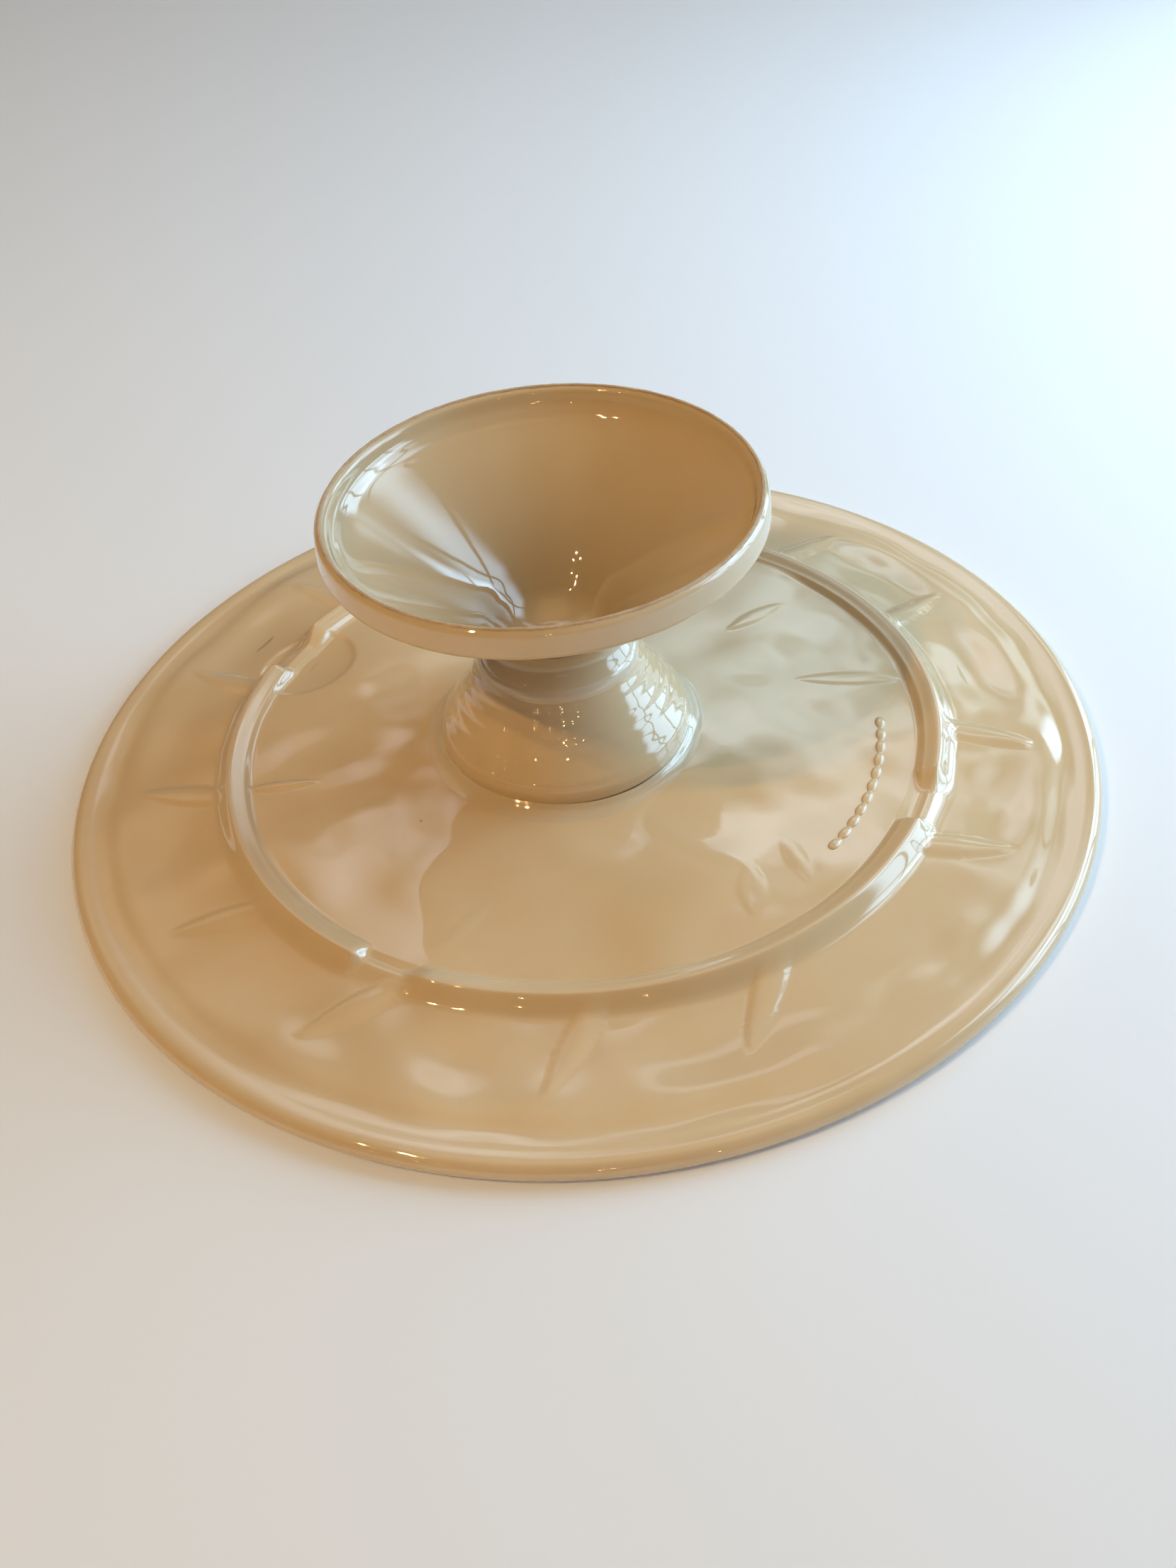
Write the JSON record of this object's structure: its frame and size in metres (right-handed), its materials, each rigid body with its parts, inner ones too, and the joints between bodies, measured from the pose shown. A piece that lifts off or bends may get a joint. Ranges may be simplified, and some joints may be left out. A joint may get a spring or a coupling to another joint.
{
  "type": "chip and dip server",
  "caption": "Round glazed ceramic plate with a central dip well, on a bell-shaped stem and hollow conical foot, lying on its rim.",
  "frame": {"origin": "centre of the plane that the plate's rim rests on, with the server turned over as pictured", "axes": "+Z from the rim up to the foot's contact edge; +Y away from the viewer of the front side; +X to the viewer's right"},
  "size_m": [0.3294, 0.3296, 0.1019],
  "materials": {
    "plate_glaze": "glossy warm ivory glaze over relief",
    "pedestal_glaze": "glossy warm ivory glaze",
    "seam_glaze": "glossy glaze pooled over slip",
    "bare_clay": "unglazed matt clay, slightly rough"
  },
  "bodies": {
    "root": {"serving_plate": "plate_glaze", "drain_ring": "plate_glaze", "mould_mark": "plate_glaze", "dip_well": "pedestal_glaze", "well_seam": "seam_glaze", "shoulder_seam": "seam_glaze", "pedestal_foot": "pedestal_glaze"}
  },
  "joints": []
}
